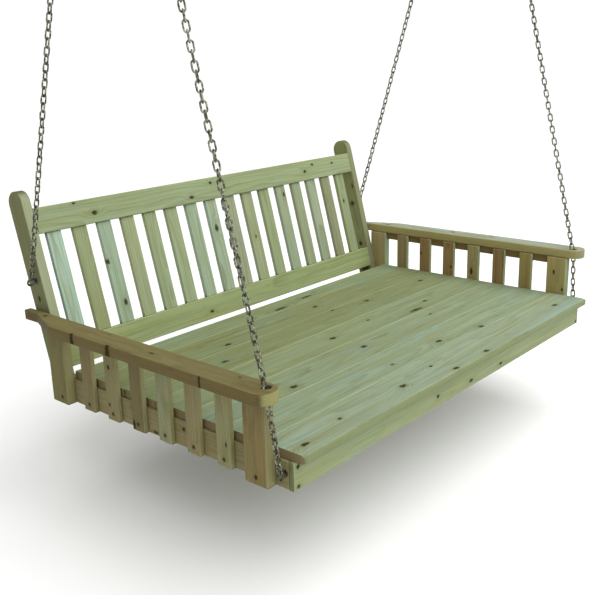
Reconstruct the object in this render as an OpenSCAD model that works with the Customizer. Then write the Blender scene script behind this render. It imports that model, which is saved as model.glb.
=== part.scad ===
// Porch swing seat: a wide timber bench on four chains, two to each ceiling hanger.
// Millimetres. X runs along the seat, the sitter faces -Y, +Z is up.
// The origin lies on the ceiling line, midway between the two hangers.

/* [Seat] */
// Clear width between the two arms
seat_w = 1905; // [1200:1:2000]
// Thickness of the deck boards
deck_t = 30; // [24:1:36]
// Width of a full deck board
deck_board_w = 160; // [120:1:170]
// Full boards in the deck, besides the narrow one at the back
deck_full_boards = 6; // [6:1:6]
// Depth of the narrow rear deck board
deck_rear_w = 116; // [80:1:118]
// How far the deck's nose stands in front of the depths' datum
deck_nose = 66; // [50:1:80]
// Gap between the deck's ends and the arms
deck_end_gap = 8; // [0:1:10]
// Seam between two deck boards
deck_seam = 1; // [0.5:0.5:3]
// Radius of the nose's two arrises
deck_nose_r = 8; // [4:1:12]
// How far the seat tips back as it hangs, degrees
hang_back = 2.3; // [0:0.1:4]

/* [Timber] */
// Thickness of the framing timber
frame_t = 38; // [32:1:42]
// Width of the framing timber
frame_w = 89; // [80:1:95]
// Thickness of slats and of the front apron
slat_t = 19; // [16:1:22]
// Width of the back and arm slats
slat_w = 60; // [50:1:66]

/* [Arms] */
// Height of the armrest's top above the deck
arm_h = 200.5; // [180:0.5:240]
// Length of the armrest
armrest_l = 1245; // [1200:1:1260]
// Full width of the armrest
armrest_w = 89; // [80:1:100]
// Gap from the back post's outer face to the armrest's inner edge
armrest_reveal = 8.5; // [4:0.5:12]
// Corner radius at the armrest's front
armrest_corner_r = 42; // [10:1:44]
// Slats in each arm
arm_slat_count = 6; // [5:1:7]
// Height of the rail under the armrest
arm_rail_h = 34; // [25:1:45]

/* [Back] */
// Lean of the back from upright, degrees
lean = 14.6; // [12:0.1:16]
// Height of the post tops along the lean, from the back's datum
post_top = 636; // [600:1:660]
// Height of the back rails
back_rail_h = 94; // [88:1:98]
// Underside of the top rail along the lean
top_rail_s = 470.4; // [450:0.1:490]
// Underside of the bottom rail along the lean
bottom_rail_s = -22; // [-24:1:0]
// Slats in the back
back_slat_count = 16; // [16:1:16]
// Spacing of the back slats
back_slat_pitch = 111.3; // [110:0.1:112]
// First slat's gap from the left post
back_slat_first_gap = 36; // [30:1:50]

/* [Chain] */
// Wire diameter of a link
link_wire = 5.5; // [5:0.1:6]
// Outer width of a link
link_w = 21.6; // [21:0.1:23]
// Distance from one link to the next
link_pitch = 26; // [26:1:26]
// Play between two links
link_play = 0.6; // [0.4:0.1:0.8]
// Links in a rear chain
rear_links = 81; // [71:2:91]
// Links in a front chain above the armrest
front_links_above = 85; // [85:1:85]
// Links in a front chain below the armrest
front_links_below = 9; // [9:1:9]

/* [Hardware] */
// Rod diameter of the ceiling hanger
hanger_rod = 9; // [8:0.5:9.4]
// Diameter of the hanger's lag screw
lag_d = 12; // [10:1:14]
// Plain length of the lag screw above the ceiling line
lag_l = 60; // [50:1:90]
// Wire diameter of the eye bolts
eye_wire = 7; // [6:0.5:8]
// Shank diameter of the eye bolts
eye_shank = 9.5; // [8:0.5:10]
// Diameter of the chain hole in the armrest
chain_hole_d = 32; // [30:1:34]

/* [Hidden] */
$fn = 48;

function numbered(base, i) = str(base, i < 10 ? "0" : "", i);

// Seat heights, counted from the armrest's top. Depths are counted from a line 37 mm before the front posts.
half_w = seat_w / 2;
deck_top = -arm_h;
deck_low = deck_top - deck_t;
apron_low = deck_low - frame_w;
arm_low = apron_low + 1.5;
arm_top = -frame_t;
armrest_front_y = -18;
front_apron_y = -31.5;
frame_front_y = front_apron_y + slat_t;
front_post_y = 37;
rear_post_y = 1008;
deck_back_y = -deck_nose + deck_full_boards * deck_board_w + deck_rear_w;
arm_face = half_w;
arm_outer = half_w + frame_t;
joist_xs = [-470, 0, 470];

// The back's own axes: s runs up the lean, d runs backwards from its front face.
back_datum = [1072.8, -185];
function in_back(d, s) = [
    back_datum[0] + d * cos(lean) + s * sin(lean),
    back_datum[1] - d * sin(lean) + s * cos(lean)
];
post_s_low = (arm_low - back_datum[1]) / cos(lean);
slat_set_back = (frame_t - slat_t) / 2;

// Chains. A joint is the point where two links cross.
link_r = (link_w - link_wire) / 2;
link_cross = (link_wire + link_play) / 2;
eye_r = 13;
eye_reach = eye_r - (eye_wire + link_play) / 2;
hanger_reach = link_r - link_cross;
eye_x = half_w + 19.5;
front_chain_x = half_w + 39.5;
hanger_x = (eye_x + front_chain_x) / 2;
hanger_y = 541;
function unit(v) = v / norm(v);

rear_eye = concat(eye_x, in_back(38, 310));
rear_run = eye_reach + rear_links * link_pitch - hanger_reach;
hanger_axis_z = rear_eye[2] + sqrt(pow(rear_run, 2) - pow(rear_eye[1] - hanger_y, 2));
rear_up = unit([eye_x, hanger_y, hanger_axis_z] - rear_eye);

// The front chain bends in the armrest's hole, and slopes inwards below it to its eye.
armrest_hole = [front_chain_x, 26, -14];
front_top = [front_chain_x, hanger_y, hanger_axis_z];
front_up = unit(front_top - armrest_hole);
front_bend = front_top + (hanger_reach - front_links_above * link_pitch) * front_up;
front_eye_aim = [eye_x, 1, -275];
front_low_up = unit(front_bend - front_eye_aim);
front_eye = front_bend - (front_links_below * link_pitch + eye_reach) * front_low_up;
// Both end links stand square to their bars, so an even chain makes a quarter turn on its way up.
front_twist = (front_links_above + front_links_below) % 2 == 0 ? 90 : 0;

// The hanger's ring, about the bar that the chains hang on
bar_half = 14;
bend_r = 9;
ring_h = 48;
neck_l = 12;
collar_r = 17;
collar_h = 5;
lag_tip_l = 14;
lag_tip_d = 2;
hanger_drop = ring_h + neck_l + collar_h;

// Eye bolt fittings
bolt_hole_d = 10.5;
washer_r = 11.5;
washer_t = 2;
nut_t = 8;
nut_r = 8.7;
nut_bore = eye_shank + 0.3;
bolt_end = 8;

// How far a hole's cutter stands past each face
over = 1;

// Screws
screw_head_r = 4.5;
screw_head_h = 2.6;
screw_stand = 0.4;
screw_r = 2;
screw_l = 45;

timber = "#8f8a52";
arm_timber = "#96784a";
steel = "#4b4b47";

// Seat axes to the row's: the whole swing tips back about the hangers' bars
module in_row() {
    translate([0, 0, -hanger_drop]) rotate([-hang_back, 0, 0]) translate([0, -hanger_y, -hanger_axis_z])
        children();
}

module side(right) { mirror([right ? 0 : 1, 0, 0]) children(); }
module back_frame() {
    translate([0, back_datum[0], back_datum[1]]) rotate([-lean, 0, 0]) children();
}

// A block from its low corner to its high corner
module block(low, high) { translate(low) cube(high - low); }

// ---- Chain and hardware ----

// A straight-sided link along +Z from its lower joint at the origin, flat in the YZ plane
module link() {
    end = link_pitch / 2 + link_cross - link_r;
    translate([0, 0, link_pitch / 2]) rotate([0, 0, 90]) {
        for (up = [0, 180]) rotate([0, up, 0]) translate([0, 0, end]) rotate([90, 0, 0])
            rotate_extrude(angle = 180) translate([link_r, 0]) circle(d = link_wire);
        for (s = [-1, 1]) translate([s * link_r, 0, -end]) cylinder(d = link_wire, h = 2 * end);
    }
}

// Turns +Z to a direction, by way of a slope towards X and then a lean about X
module along(dir) { rotate([-atan2(dir[1], dir[2]), 0, 0]) rotate([0, asin(dir[0]), 0]) children(); }

// A run of links from a joint along a direction; every other link is turned, and all share the twist
module chain_run(start, dir, count, first = 0, twist = 0) {
    for (k = [0:count - 1])
        translate(start + k * link_pitch * dir) along(dir)
            rotate([0, 0, (k + first) % 2 * 90 + twist * (k + 1) / count]) link();
}

module front_chain() {
    chain_run(front_bend - front_links_below * link_pitch * front_low_up, front_low_up, front_links_below);
    chain_run(front_bend, front_up, front_links_above, front_links_below, front_twist);
}

module rear_chain() { chain_run(rear_eye + eye_reach * rear_up, rear_up, rear_links); }

// The ring turns in the plane of X and the chain; the shank runs along -X through the timber
module eye_bolt(centre, dir) {
    end_x = arm_face - frame_t - washer_t - nut_t - bolt_end;
    translate(centre) {
        rotate([-atan2(dir[1], dir[2]), 0, 0]) rotate([90, 0, 0])
            rotate_extrude() translate([eye_r, 0]) circle(d = eye_wire);
        translate([end_x - centre[0], 0, 0]) rotate([0, 90, 0])
            cylinder(d = eye_shank, h = centre[0] - eye_r - end_x);
    }
}

module washer() {
    rotate([0, 90, 0]) difference() {
        cylinder(r = washer_r, h = washer_t);
        translate([0, 0, -over]) cylinder(d = bolt_hole_d, h = washer_t + 2 * over);
    }
}

module nut() {
    rotate([0, 90, 0]) difference() {
        cylinder(r = nut_r, h = nut_t, $fn = 6);
        translate([0, 0, -over]) cylinder(d = nut_bore, h = nut_t + 2 * over);
    }
}

module at_eyes() {
    for (right = [false, true], eye = [front_eye, rear_eye])
        side(right) translate([0, eye[1], eye[2]]) children();
}

module bolt_hole(eye) {
    translate([arm_face - frame_t - over, eye[1], eye[2]]) rotate([0, 90, 0])
        cylinder(d = bolt_hole_d, h = frame_t + 2 * over);
}

// A rounded closed ring of rod in the XZ plane, its lower bar on the X axis
module hanger_ring() {
    side_x = bar_half + bend_r;
    for (x = [-1, 1]) translate([x * side_x, 0, bend_r]) cylinder(d = hanger_rod, h = ring_h - 2 * bend_r);
    for (z = [0, ring_h]) translate([-bar_half, 0, z]) rotate([0, 90, 0])
        cylinder(d = hanger_rod, h = 2 * bar_half);
    for (x = [-1, 1], z = [0, 1])
        translate([x * bar_half, 0, z == 0 ? bend_r : ring_h - bend_r]) rotate([90, 0, 0])
            rotate([0, 0, (x > 0 ? (z == 0 ? 270 : 0) : (z == 0 ? 180 : 90))])
                rotate_extrude(angle = 90) translate([bend_r, 0]) circle(d = hanger_rod);
}

module hanger() {
    translate([hanger_x, 0, -hanger_drop]) {
        hanger_ring();
        translate([0, 0, ring_h]) cylinder(d = lag_d, h = neck_l + collar_h);
        translate([0, 0, ring_h + neck_l]) cylinder(r = collar_r, h = collar_h);
        translate([0, 0, hanger_drop]) {
            cylinder(d = lag_d, h = lag_l);
            translate([0, 0, lag_l]) cylinder(d1 = lag_d, d2 = lag_tip_d, h = lag_tip_l);
        }
    }
}

// A countersunk screw that enters along +X from the origin
module screw() {
    rotate([0, 90, 0]) {
        translate([0, 0, -screw_stand]) cylinder(r = screw_head_r, h = screw_head_h);
        cylinder(r = screw_r, h = screw_l);
    }
}

// ---- Deck and aprons ----

function deck_y(i) = -deck_nose + i * deck_board_w;

module deck_board(i) {
    half = half_w - deck_end_gap;
    last = i == deck_full_boards;
    front = i == 0 ? deck_y(0) + deck_nose_r : deck_y(i) + deck_seam / 2;
    back = last ? deck_back_y : deck_y(i + 1) - deck_seam / 2;
    color(timber) in_row() {
        block([-half, front, deck_low], [half, back, deck_top]);
        if (i == 0) {
            block([-half, deck_y(0), deck_low + deck_nose_r], [half, front, deck_top - deck_nose_r]);
            for (z = [deck_low + deck_nose_r, deck_top - deck_nose_r])
                translate([-half, front, z]) rotate([0, 90, 0]) cylinder(r = deck_nose_r, h = 2 * half);
        }
    }
}

module front_apron() {
    color(timber) in_row() block([-half_w, front_apron_y, apron_low], [half_w, frame_front_y, deck_low]);
}

module rear_apron() {
    inner = half_w - frame_t;
    color(timber) in_row() block([-inner, deck_back_y - frame_t, apron_low], [inner, deck_back_y, deck_low]);
}

// Side aprons end on the leaning back post's front face
module side_apron(right) {
    reach = 1200;
    color(timber) in_row() side(right) difference() {
        block([half_w - frame_t, frame_front_y, apron_low], [half_w, reach, deck_low]);
        back_frame() block([0, 0, -reach], [reach, reach, reach]);
        bolt_hole(front_eye);
    }
}

module joist(i) {
    x = joist_xs[i];
    color(timber) in_row() block([x - frame_t / 2, frame_front_y, apron_low],
        [x + frame_t / 2, deck_back_y - frame_t, deck_low]);
}

// ---- Arms ----

module armrest(right) {
    inner = half_w + armrest_reveal;
    outer = inner + armrest_w;
    r = armrest_corner_r;
    front = armrest_front_y;
    back = front + armrest_l;
    tail = 27;
    taper_start = 985;
    taper_end = 1150;
    color(arm_timber) in_row() side(right) difference() {
        translate([0, 0, arm_top]) linear_extrude(frame_t) {
            for (x = [inner + r, outer - r]) translate([x, front + r]) circle(r);
            translate([inner + r, front]) square([armrest_w - 2 * r, r]);
            polygon([[inner, front + r], [outer, front + r], [outer, taper_start], [inner + tail, taper_end],
                [inner + tail, back], [inner, back]]);
        }
        translate([front_chain_x, armrest_hole[1], arm_top - over])
            cylinder(d = chain_hole_d, h = frame_t + 2 * over);
    }
}

module arm_post(right, y) {
    color(arm_timber) in_row() side(right) block([arm_face, y, arm_low], [arm_outer, y + frame_w, arm_top]);
}

module arm_upper_rail(right) {
    color(arm_timber) in_row() side(right) block([arm_face + slat_t, front_post_y + frame_w, arm_top - arm_rail_h],
        [arm_outer, rear_post_y, arm_top]);
}

arm_gap = (rear_post_y - front_post_y - frame_w - arm_slat_count * slat_w) / (arm_slat_count + 1);
function arm_slat_y(i) = front_post_y + frame_w + arm_gap + i * (slat_w + arm_gap);

module arm_slats(right) {
    color(arm_timber) in_row() side(right) for (i = [0:arm_slat_count - 1])
        block([arm_face, arm_slat_y(i), arm_low], [arm_face + slat_t, arm_slat_y(i) + slat_w, arm_top]);
}

// ---- Back ----

module back_post(right) {
    r = frame_w / 2;
    long = 400;
    color(timber) in_row() side(right) difference() {
        back_frame() translate([half_w, 0, 0]) rotate([0, -90, 0]) linear_extrude(frame_t) {
            translate([post_s_low - long, 0]) square([post_top - r - post_s_low + long, frame_w]);
            translate([post_top - r, r]) circle(r);
        }
        block([0, 0, arm_low - 2 * long], [2 * half_w, 2 * half_w, arm_low]);
        bolt_hole(rear_eye);
    }
}

module back_rail(s) {
    inner = half_w - frame_t;
    color(timber) in_row() back_frame() block([-inner, 0, s], [inner, frame_t, s + back_rail_h]);
}

module back_slat(i) {
    left = -half_w + frame_t + back_slat_first_gap + i * back_slat_pitch;
    color(timber) in_row() back_frame() block([left, slat_set_back, bottom_rail_s + back_rail_h],
        [left + slat_w, slat_set_back + slat_t, top_rail_s]);
}

// ---- Screws ----

screw_low_z = arm_low + 25;
post_screw_ys = [front_post_y + frame_w / 2, rear_post_y + frame_w / 3];
apron_screw_zs = [apron_low + 11, deck_low - 17];

module slat_screws() {
    color(steel) in_row() for (right = [false, true], i = [0:arm_slat_count - 1]) side(right)
        translate([arm_face + slat_t, arm_slat_y(i) + slat_w / 2, screw_low_z]) mirror([1, 0, 0]) screw();
}

module post_screws() {
    color(steel) in_row() for (right = [false, true], y = post_screw_ys) side(right)
        translate([arm_outer, y, screw_low_z]) mirror([1, 0, 0]) screw();
}

module apron_screws() {
    color(steel) in_row() for (right = [false, true], z = apron_screw_zs) side(right)
        translate([half_w - frame_t / 2, front_apron_y, z]) rotate([0, 0, 90]) screw();
}

// ---- Nodes ----

module ceiling_hanger(right) { color(steel) side(right) hanger(); }
module chain_front(right) { color(steel) in_row() side(right) front_chain(); }
module chain_rear(right) { color(steel) in_row() side(right) rear_chain(); }
module eye_bolt_front(right) {
    color(steel) in_row() side(right) eye_bolt(front_eye, front_low_up);
}
module eye_bolt_rear(right) {
    color(steel) in_row() side(right) eye_bolt(rear_eye, rear_up);
}
module eye_bolt_nuts() {
    color(steel) in_row() at_eyes() translate([arm_face - frame_t - washer_t - nut_t, 0, 0]) nut();
}
module eye_bolt_washers() {
    color(steel) in_row() at_eyes() for (x = [arm_face - frame_t - washer_t, arm_face])
        translate([x, 0, 0]) washer();
}

ceiling_hanger(false);  // ceiling_hanger_left
ceiling_hanger(true);  // ceiling_hanger_right
chain_front(false);  // chain_front_left
chain_front(true);  // chain_front_right
chain_rear(false);  // chain_rear_left
chain_rear(true);  // chain_rear_right
eye_bolt_front(false);  // eye_bolt_front_left
eye_bolt_front(true);  // eye_bolt_front_right
eye_bolt_rear(false);  // eye_bolt_rear_left
eye_bolt_rear(true);  // eye_bolt_rear_right
eye_bolt_nuts();
eye_bolt_washers();
back_post(false);  // back_post_left
back_post(true);  // back_post_right
back_rail(top_rail_s);  // back_top_rail
back_rail(bottom_rail_s);  // back_bottom_rail
for (i = [1:back_slat_count]) back_slat(i - 1);
armrest(false);  // armrest_left
armrest(true);  // armrest_right
arm_post(false, front_post_y);  // arm_front_post_left
arm_post(true, front_post_y);  // arm_front_post_right
arm_post(false, rear_post_y);  // arm_rear_post_left
arm_post(true, rear_post_y);  // arm_rear_post_right
arm_upper_rail(false);  // arm_upper_rail_left
arm_upper_rail(true);  // arm_upper_rail_right
arm_slats(false);  // arm_slats_left
arm_slats(true);  // arm_slats_right
front_apron();
rear_apron();
side_apron(false);  // side_apron_left
side_apron(true);  // side_apron_right
for (i = [1:3]) joist(i - 1);
for (i = [1:deck_full_boards + 1]) deck_board(i - 1);
slat_screws();
post_screws();
apron_screws();
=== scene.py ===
"""A porch swing seat: treated-pine bench on four steel chains, hung from two ceiling hangers.

Metres, in the row's frame. The seat has axes of its own: X from its middle to its right as seen from
in front, Y backwards from a line 37 mm before the front posts, and Z up from the armrests' tops.
SEAT takes them to the row's frame, where the whole swing hangs tipped a little back about the
hangers' bars.
"""
import math
import random

import bmesh
import bpy
from mathutils import Matrix, Vector, noise


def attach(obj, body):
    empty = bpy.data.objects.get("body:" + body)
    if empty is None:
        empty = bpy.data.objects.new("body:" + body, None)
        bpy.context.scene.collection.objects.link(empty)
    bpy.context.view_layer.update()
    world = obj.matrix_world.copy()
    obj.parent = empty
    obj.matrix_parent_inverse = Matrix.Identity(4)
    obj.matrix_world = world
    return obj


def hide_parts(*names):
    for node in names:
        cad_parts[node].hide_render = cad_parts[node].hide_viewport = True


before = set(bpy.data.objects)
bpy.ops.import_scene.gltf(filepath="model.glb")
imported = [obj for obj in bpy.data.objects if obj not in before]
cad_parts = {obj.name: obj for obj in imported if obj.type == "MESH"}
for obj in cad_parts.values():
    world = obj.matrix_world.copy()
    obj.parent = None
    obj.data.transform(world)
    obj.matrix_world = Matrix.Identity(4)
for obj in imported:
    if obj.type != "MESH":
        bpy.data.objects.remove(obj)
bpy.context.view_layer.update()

# ---- Sizes, from the part's design ----

HALF_W = 0.9525
FRAME_T, FRAME_W = 0.038, 0.089
SLAT_T, SLAT_W = 0.019, 0.060
DECK_TOP = -0.2005
DECK_T = 0.030
DECK_NOSE_Y = -0.066
DECK_HALF_L = HALF_W - 0.008
DECK_BOARD_W = 0.160
DECK_FULL_BOARDS = 6
DECK_BACK_Y = 1.010
DECK_SEAM = 0.001
DECK_NOSE_R = 0.008
APRON_LOW = DECK_TOP - DECK_T - FRAME_W
ARM_LOW = APRON_LOW + 0.0015
ARM_TOP = -FRAME_T
APRON_FRONT_Y = -0.0315
FRAME_FRONT_Y = APRON_FRONT_Y + SLAT_T
FRONT_POST_Y, REAR_POST_Y = 0.037, 1.008
ARMREST_L, ARMREST_W, ARMREST_REVEAL = 1.245, 0.089, 0.0085
ARMREST_FRONT_Y, ARMREST_CORNER_R = -0.018, 0.042
ARMREST_MID_Y = ARMREST_FRONT_Y + ARMREST_L / 2
ARMREST_TAPER_YS, ARMREST_TAIL_W = (0.985, 1.150), 0.027
CHAIN_HOLE_Y, CHAIN_HOLE_Z, CHAIN_HOLE_R = 0.026, -0.014, 0.016
JOIST_XS = (-0.470, 0.0, 0.470)
ARM_SLATS = 6
ARM_RAIL_H = 0.034
LEAN = math.radians(14.6)
BACK_Y, BACK_Z = 1.0728, -0.185
POST_TOP_S = 0.636
RAIL_H = 0.094
TOP_RAIL_S, BOTTOM_RAIL_S = 0.4704, -0.022
BACK_SLATS, BACK_PITCH, BACK_GAP = 16, 0.1113, 0.036

WIRE_D, LINK_W, PITCH, PLAY = 0.0055, 0.0216, 0.026, 0.0006
REAR_LINKS, FRONT_LINKS_ABOVE, FRONT_LINKS_BELOW = 81, 85, 9
FRONT_CHAIN_X, EYE_X = HALF_W + 0.0395, HALF_W + 0.0195
HANGER_X = (FRONT_CHAIN_X + EYE_X) / 2
HANGER_ROD_D, LAG_D, LAG_L, LAG_TIP_L = 0.009, 0.012, 0.060, 0.014
RING_H, NECK_L, COLLAR_R, COLLAR_H = 0.048, 0.012, 0.017, 0.005
BAR_HALF, BEND_R = 0.014, 0.009
EYE_R, EYE_WIRE_D, EYE_SHANK_D = 0.013, 0.007, 0.0095
WASHER_R, WASHER_T, NUT_R, NUT_T, BOLT_END = 0.0115, 0.002, 0.0087, 0.008, 0.008
SCREW_HEAD_R, SCREW_STAND = 0.0045, 0.0004
SCREW_LOW_Z = ARM_LOW + 0.025
APRON_SCREW_ZS = (APRON_LOW + 0.011, APRON_LOW + FRAME_W - 0.017)

HANGER_Y = 0.541
HANG_BACK = math.radians(2.3)
FLOOR_BELOW_DECK = 0.47

# ---- Directions and places in the seat's axes ----

X, Y, Z = Vector((1, 0, 0)), Vector((0, 1, 0)), Vector((0, 0, 1))
UP_BACK = Vector((0, math.sin(LEAN), math.cos(LEAN)))
DEEP_BACK = Vector((0, math.cos(LEAN), -math.sin(LEAN)))


def on_back(x, depth, s):
    """A point by its depth behind the back's front face and its height s up the lean."""
    return Vector((x, BACK_Y, BACK_Z)) + depth * DEEP_BACK + s * UP_BACK


# The right side's chains; the left side's are mirrored. A joint is the point where two links cross.
LINK_R = (LINK_W - WIRE_D) / 2
LINK_CROSS = (WIRE_D + PLAY) / 2
EYE_REACH = EYE_R - (EYE_WIRE_D + PLAY) / 2
HANGER_REACH = LINK_R - LINK_CROSS
REAR_EYE = on_back(EYE_X, 0.038, 0.310)
REAR_RUN = EYE_REACH + REAR_LINKS * PITCH - HANGER_REACH
HANGER_Z = REAR_EYE.z + math.sqrt(REAR_RUN ** 2 - (REAR_EYE.y - HANGER_Y) ** 2)
REAR_UP = (Vector((EYE_X, HANGER_Y, HANGER_Z)) - REAR_EYE).normalized()
FRONT_TOP = Vector((FRONT_CHAIN_X, HANGER_Y, HANGER_Z))
FRONT_UP = (FRONT_TOP - Vector((FRONT_CHAIN_X, CHAIN_HOLE_Y, CHAIN_HOLE_Z))).normalized()
FRONT_BEND = FRONT_TOP + (HANGER_REACH - FRONT_LINKS_ABOVE * PITCH) * FRONT_UP
FRONT_LOW_UP = (FRONT_BEND - Vector((EYE_X, 0.001, -0.275))).normalized()
FRONT_EYE = FRONT_BEND - (FRONT_LINKS_BELOW * PITCH + EYE_REACH) * FRONT_LOW_UP
HANGER_DROP = RING_H + NECK_L + COLLAR_H

SEAT = (Matrix.Translation((0, 0, -HANGER_DROP)) @ Matrix.Rotation(-HANG_BACK, 4, "X")
        @ Matrix.Translation((0, -HANGER_Y, -HANGER_Z)))
SIDES = {"left": -1, "right": 1}
SWING, CEILING = "swing_seat", "ceiling_hangers"


def axes(centre, along, across):
    """A board's own frame: X along it, Y across it and Z out of its face."""
    out = along.cross(across)
    columns = Matrix((along, across, out)).transposed().to_4x4()
    columns.translation = centre
    return columns


# ---- Node helpers ----


class Graph:
    """Adds nodes to a tree; an input may be a socket, a number, a vector or a colour."""

    def __init__(self, tree):
        self.tree = tree

    def feed(self, socket, value):
        if isinstance(value, bpy.types.NodeSocket):
            self.tree.links.new(value, socket)
        elif value is not None:
            socket.default_value = value

    def node(self, kind, inputs=(), **settings):
        made = self.tree.nodes.new(kind)
        for name, value in settings.items():
            setattr(made, name, value)
        for name, value in dict(inputs).items():
            self.feed(made.inputs[name], value)
        return made

    def math(self, operation, a, b=None, c=None, clamp=False):
        made = self.node("ShaderNodeMath", operation=operation, use_clamp=clamp)
        for socket, value in zip(made.inputs, (a, b, c)):
            self.feed(socket, value)
        return made.outputs[0]

    def vector(self, operation, a, b=None):
        made = self.node("ShaderNodeVectorMath", operation=operation)
        self.feed(made.inputs[0], a)
        self.feed(made.inputs[1], b)
        return made.outputs["Value" if operation == "LENGTH" else "Vector"]

    def noise(self, position, scale, detail=2.0, roughness=0.5):
        made = self.node("ShaderNodeTexNoise",
                         {"Vector": position, "Scale": scale, "Detail": detail, "Roughness": roughness})
        return made.outputs["Fac"]

    def stretch(self, position, factors):
        return self.vector("MULTIPLY", position, factors)

    def mix(self, factor, a, b, blend="MIX"):
        made = self.node("ShaderNodeMix", data_type="RGBA", blend_type=blend)
        self.feed(made.inputs["Factor"], factor)
        self.feed(made.inputs["A"], a)
        self.feed(made.inputs["B"], b)
        return made.outputs["Result"]

    def ease(self, value, low, high, to_low=0.0, to_high=1.0):
        made = self.node("ShaderNodeMapRange", interpolation_type="SMOOTHSTEP")
        for name, given in (("Value", value), ("From Min", low), ("From Max", high),
                            ("To Min", to_low), ("To Max", to_high)):
            self.feed(made.inputs[name], given)
        return made.outputs["Result"]

    def split(self, vector):
        return self.node("ShaderNodeSeparateXYZ", {"Vector": vector}).outputs

    def join(self, x, y, z):
        return self.node("ShaderNodeCombineXYZ", {"X": x, "Y": y, "Z": z}).outputs["Vector"]


def group_of(name, inputs, outputs):
    """A new node group with float, vector or colour sockets, and its graph."""
    tree = bpy.data.node_groups.new(name, "ShaderNodeTree")
    kinds = {"F": "NodeSocketFloat", "V": "NodeSocketVector", "C": "NodeSocketColor"}
    for way, sockets in (("INPUT", inputs), ("OUTPUT", outputs)):
        for socket, kind in sockets.items():
            tree.interface.new_socket(socket, in_out=way, socket_type=kinds[kind])
    graph = Graph(tree)
    return tree, graph, graph.node("NodeGroupInput").outputs, graph.node("NodeGroupOutput").inputs


# The share of a colour, as seen in the studio's light, that a surface has of its own
OWN_SHARE = 0.66


def rgb(red, green, blue):
    """A surface's own colour from its 8-bit sRGB look in the studio's light."""
    def linear(value):
        value /= 255
        return OWN_SHARE * (value / 12.92 if value <= 0.04045 else ((value + 0.055) / 1.055) ** 2.4)
    return (linear(red), linear(green), linear(blue), 1.0)


# ---- Timber ----


def knot_group():
    """How one knot pushes the rings aside, and where its dark core, its bark rim and its halo are; the same
    mark also paints shade and screw rings.
    """
    tree, g, given, out = group_of(
        "knot", {"Position": "V", "X": "F", "Y": "F", "Radius": "F", "Stretch": "F"},
        {"Push": "F", "Core": "F", "Rim": "F", "Halo": "F", "Turn": "F"})
    x, y, z = g.split(given["Position"])
    long = g.math("MULTIPLY", given["Radius"], given["Stretch"])
    dx = g.math("DIVIDE", g.math("SUBTRACT", x, given["X"]), long)
    dy = g.math("DIVIDE", g.math("SUBTRACT", y, given["Y"]), given["Radius"])
    wobble = g.math("MULTIPLY", g.math("SUBTRACT", g.noise(given["Position"], 75.0, 3.0, 0.6), 0.5), 1.9)
    near = g.math("ADD", g.vector("LENGTH", g.join(dx, dy, 0.0)), wobble)
    wide = g.vector("LENGTH", g.join(g.math("MULTIPLY", dx, 0.36), g.math("MULTIPLY", dy, 0.48), 0.0))
    push = g.math("EXPONENT", g.math("MULTIPLY", g.math("MULTIPLY", wide, wide), -1.0))
    core = g.ease(near, 1.25, 0.62)
    g.feed(out["Push"], g.math("MULTIPLY", push, given["Radius"]))
    g.feed(out["Core"], core)
    g.feed(out["Rim"], g.math("MULTIPLY", g.ease(near, 1.4, 1.05), g.ease(near, 0.65, 0.95)))
    g.feed(out["Halo"], push)
    g.feed(out["Turn"], g.math("MULTIPLY", near, core))
    return tree


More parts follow.
